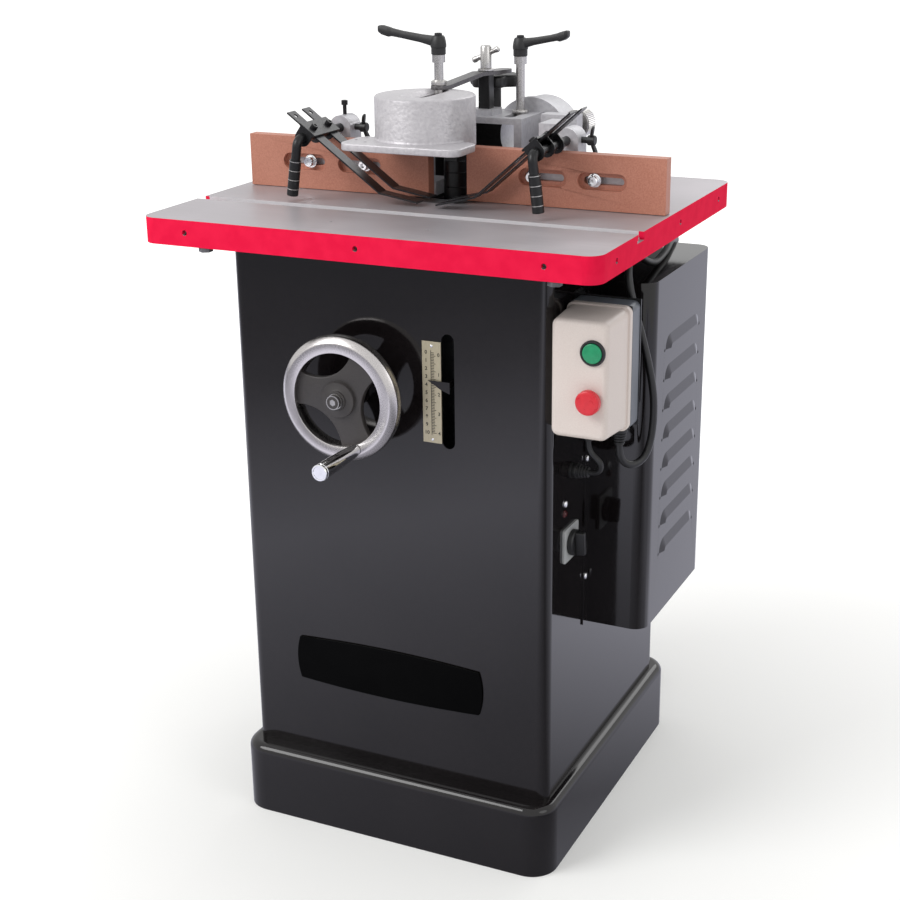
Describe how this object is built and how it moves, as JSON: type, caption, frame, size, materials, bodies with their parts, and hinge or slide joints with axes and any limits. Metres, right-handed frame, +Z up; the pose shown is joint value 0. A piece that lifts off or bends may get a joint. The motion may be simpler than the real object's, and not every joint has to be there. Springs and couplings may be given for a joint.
{
  "type": "spindle moulder",
  "caption": "Floor-standing spindle moulder with a cast table, split fence, cutter guard, finger hold-downs, height handwheel and side-mounted motor.",
  "frame": {"origin": "middle of the machine's footprint on the floor, the cord left out", "axes": "+X to the operator's right, +Y to the rear (the handwheel faces -Y), +Z up"},
  "size_m": [0.6255, 0.7804, 1.0648],
  "materials": {
    "black_enamel": "gloss",
    "ground_iron": "ground top, red painted edge",
    "plain_iron": "as cast, oiled",
    "hammer_grey": "grey hammer enamel",
    "hood_silver": "silver hammer enamel",
    "steel": "machined",
    "bright_plate": "polished plating",
    "polished_iron": "polished rim, dark spokes",
    "blackened_steel": "satin black",
    "spring_steel": "dark oiled",
    "cream_plastic": "satin",
    "grey_plastic": "satin",
    "black_plastic": "satin",
    "green_plastic": "gloss",
    "red_plastic": "gloss",
    "brass_strip": "satin, engraved",
    "board": "smooth, terracotta stain",
    "rubber_lead": "matt"
  },
  "bodies": {
    "frame": {"base_plinth": "black_enamel", "cabinet_shell": "black_enamel", "machine_table": "ground_iron", "insert_ring": "plain_iron", "table_bolts": "steel", "motor_cover": "black_enamel", "side_screws": "bright_plate", "switch_bracket": "blackened_steel", "switch_base": "grey_plastic", "switch_lid": "cream_plastic", "cable_glands": "black_plastic", "switch_lead": "rubber_lead", "reversing_plate": "steel", "badge_plate": "black_enamel", "height_scale": "brass_strip", "elevation_guide": "plain_iron", "supply_cord": "rubber_lead", "cord_coil": "rubber_lead", "supply_plug": "black_plastic"},
    "carriage": {"quill_housing": "plain_iron", "spindle_bearings": "steel", "motor_body": "plain_iron", "drive_belt": "rubber_lead", "height_pointer": "blackened_steel"},
    "spindle": {"spindle_shaft": "steel", "spindle_pulley": "plain_iron", "spindle_collars": "steel", "spindle_nut": "steel"},
    "rotor": {"motor_shaft": "steel", "motor_pulley": "plain_iron"},
    "wheel": {"handwheel": "polished_iron", "handwheel_shaft": "steel"},
    "crank": {"crank_handle": "bright_plate"},
    "lift": {"lift_screw": "steel"},
    "start": {"start_button": "green_plastic"},
    "stop": {"stop_button": "red_plastic"},
    "reversing": {"reversing_knob": "black_plastic"},
    "fence": {"fence_body": "hammer_grey", "guard_post": "blackened_steel", "left_board_screws": "steel"},
    "left_board": {"left_fence_board": "board"},
    "right_fence": {"right_fence_bracket": "hammer_grey", "right_board_screws": "steel"},
    "right_board": {"right_fence_board": "board"},
    "micro_knob": {"micro_adjust_knob": "steel"},
    "strap": {"guard_strap": "blackened_steel"},
    "hood": {"guard_hood": "hood_silver"},
    "left_lever": {"left_clamp_lever": "blackened_steel"},
    "right_lever": {"right_clamp_lever": "blackened_steel"},
    "star": {"star_knob": "black_plastic"},
    "tee": {"tee_screw": "bright_plate"},
    "left_hold": {"left_hold_rod": "blackened_steel", "left_hold_bracket": "blackened_steel"},
    "right_hold": {"right_hold_rod": "blackened_steel", "right_hold_bracket": "blackened_steel"},
    "left_finger": {"left_fingers": "spring_steel"},
    "right_finger": {"right_fingers": "spring_steel"},
    "left_wing": {"left_wing_screw": "blackened_steel"},
    "right_wing": {"right_wing_screw": "blackened_steel"}
  },
  "joints": [
    {"name": "handwheel_turn", "type": "hinge", "parent": "frame", "child": "wheel", "pos_m": [-0.041, -0.204, 0.637], "axis": [0, 1, 0], "range_deg": [-5472, 0]},
    {"name": "carriage_lift", "type": "slide", "parent": "frame", "child": "carriage", "axis": [0, 0, 1], "range_m": [-0.0761, 0]},
    {"name": "lift_screw_turn", "type": "hinge", "parent": "frame", "child": "lift", "pos_m": [-0.041, -0.0407, 0.6], "axis": [0, 0, 1], "range_deg": [0, 5473]},
    {"name": "crank_spin", "type": "hinge", "parent": "wheel", "child": "crank", "pos_m": [-0.01628, -0.215, 0.57581], "axis": [0, 1, 0], "continuous": true},
    {"name": "motor_spin", "type": "hinge", "parent": "carriage", "child": "rotor", "pos_m": [0.205, 0.0893, 0.44], "axis": [0, 0, 1], "continuous": true},
    {"name": "spindle_spin", "type": "hinge", "parent": "carriage", "child": "spindle", "pos_m": [0, 0.0513, 0.7], "axis": [0, 0, 1], "continuous": true},
    {"name": "start_press", "type": "slide", "parent": "frame", "child": "start", "axis": [0, 1, 0], "range_m": [0, 0.004], "stiffness_N_per_m": 600},
    {"name": "stop_press", "type": "slide", "parent": "frame", "child": "stop", "axis": [0, 1, 0], "range_m": [0, 0.004], "stiffness_N_per_m": 600},
    {"name": "reversing_turn", "type": "hinge", "parent": "frame", "child": "reversing", "pos_m": [0.22, -0.0877, 0.444], "axis": [1, 0, 0], "range_deg": [-60, 60]},
    {"name": "fence_slide", "type": "slide", "parent": "frame", "child": "fence", "axis": [0, 1, 0], "range_m": [-0.005, 0.018]},
    {"name": "left_board_slide", "type": "slide", "parent": "fence", "child": "left_board", "axis": [1, 0, 0], "range_m": [-0.015, 0.003]},
    {"name": "micro_knob_turn", "type": "hinge", "parent": "fence", "child": "micro_knob", "pos_m": [0.132, 0.1443, 0.936], "axis": [0, 1, 0], "range_deg": [-1925, 1925]},
    {"name": "right_fence_adjust", "type": "slide", "parent": "fence", "child": "right_fence", "axis": [0, 1, 0], "range_m": [-0.008, 0.008]},
    {"name": "right_board_slide", "type": "slide", "parent": "right_fence", "child": "right_board", "axis": [1, 0, 0], "range_m": [-0.01, 0.006]},
    {"name": "guard_swing", "type": "hinge", "parent": "fence", "child": "strap", "pos_m": [0.008, 0.1313, 0.9965], "axis": [0, 0, 1], "range_deg": [0, 10]},
    {"name": "guard_slide", "type": "slide", "parent": "strap", "child": "hood", "axis": [0, 1, 0], "range_m": [0, 0.006]},
    {"name": "left_lever_turn", "type": "hinge", "parent": "strap", "child": "left_lever", "pos_m": [-0.024, 0.0533, 0.9852], "axis": [0, 0, 1], "range_deg": [-60, 60]},
    {"name": "right_lever_turn", "type": "hinge", "parent": "frame", "child": "right_lever", "pos_m": [0.047, 0.1563, 0.945], "axis": [0, 0, 1], "range_deg": [-60, 60]},
    {"name": "star_turn", "type": "hinge", "parent": "fence", "child": "star", "pos_m": [0, 0.1773, 0.945], "axis": [0, 0, 1], "range_deg": [-90, 90]},
    {"name": "tee_screw_turn", "type": "hinge", "parent": "fence", "child": "tee", "pos_m": [0.008, 0.1313, 0.9965], "axis": [0, 0, 1], "range_deg": [-90, 90]},
    {"name": "left_hold_turn", "type": "hinge", "parent": "fence", "child": "left_hold", "pos_m": [-0.168, 0.0593, 0.93], "axis": [0, 1, 0], "range_deg": [-10, 0]},
    {"name": "right_hold_turn", "type": "hinge", "parent": "right_fence", "child": "right_hold", "pos_m": [0.158, 0.0593, 0.93], "axis": [0, 1, 0], "range_deg": [0, 10]},
    {"name": "left_finger_slide", "type": "slide", "parent": "left_hold", "child": "left_finger", "axis": [0.809, 0, -0.5878], "range_m": [-0.03, 0.002]},
    {"name": "right_finger_slide", "type": "slide", "parent": "right_hold", "child": "right_finger", "axis": [-0.7547, 0, -0.6561], "range_m": [-0.03, 0.002]},
    {"name": "left_wing_turn", "type": "hinge", "parent": "fence", "child": "left_wing", "pos_m": [-0.168, 0.0583, 0.93], "axis": [1, 0, 0], "range_deg": [-90, 90]},
    {"name": "right_wing_turn", "type": "hinge", "parent": "right_fence", "child": "right_wing", "pos_m": [0.158, 0.0583, 0.93], "axis": [1, 0, 0], "range_deg": [-90, 90]}
  ],
  "couplings": [
    {"joint": "carriage_lift", "follows": "handwheel_turn", "m_per_rad": 0.00079577},
    {"joint": "lift_screw_turn", "follows": "handwheel_turn", "ratio": -1},
    {"joint": "micro_knob_turn", "follows": "right_fence_adjust", "rad_per_m": 4188.8},
    {"joint": "spindle_spin", "follows": "motor_spin", "ratio": 2.5}
  ]
}
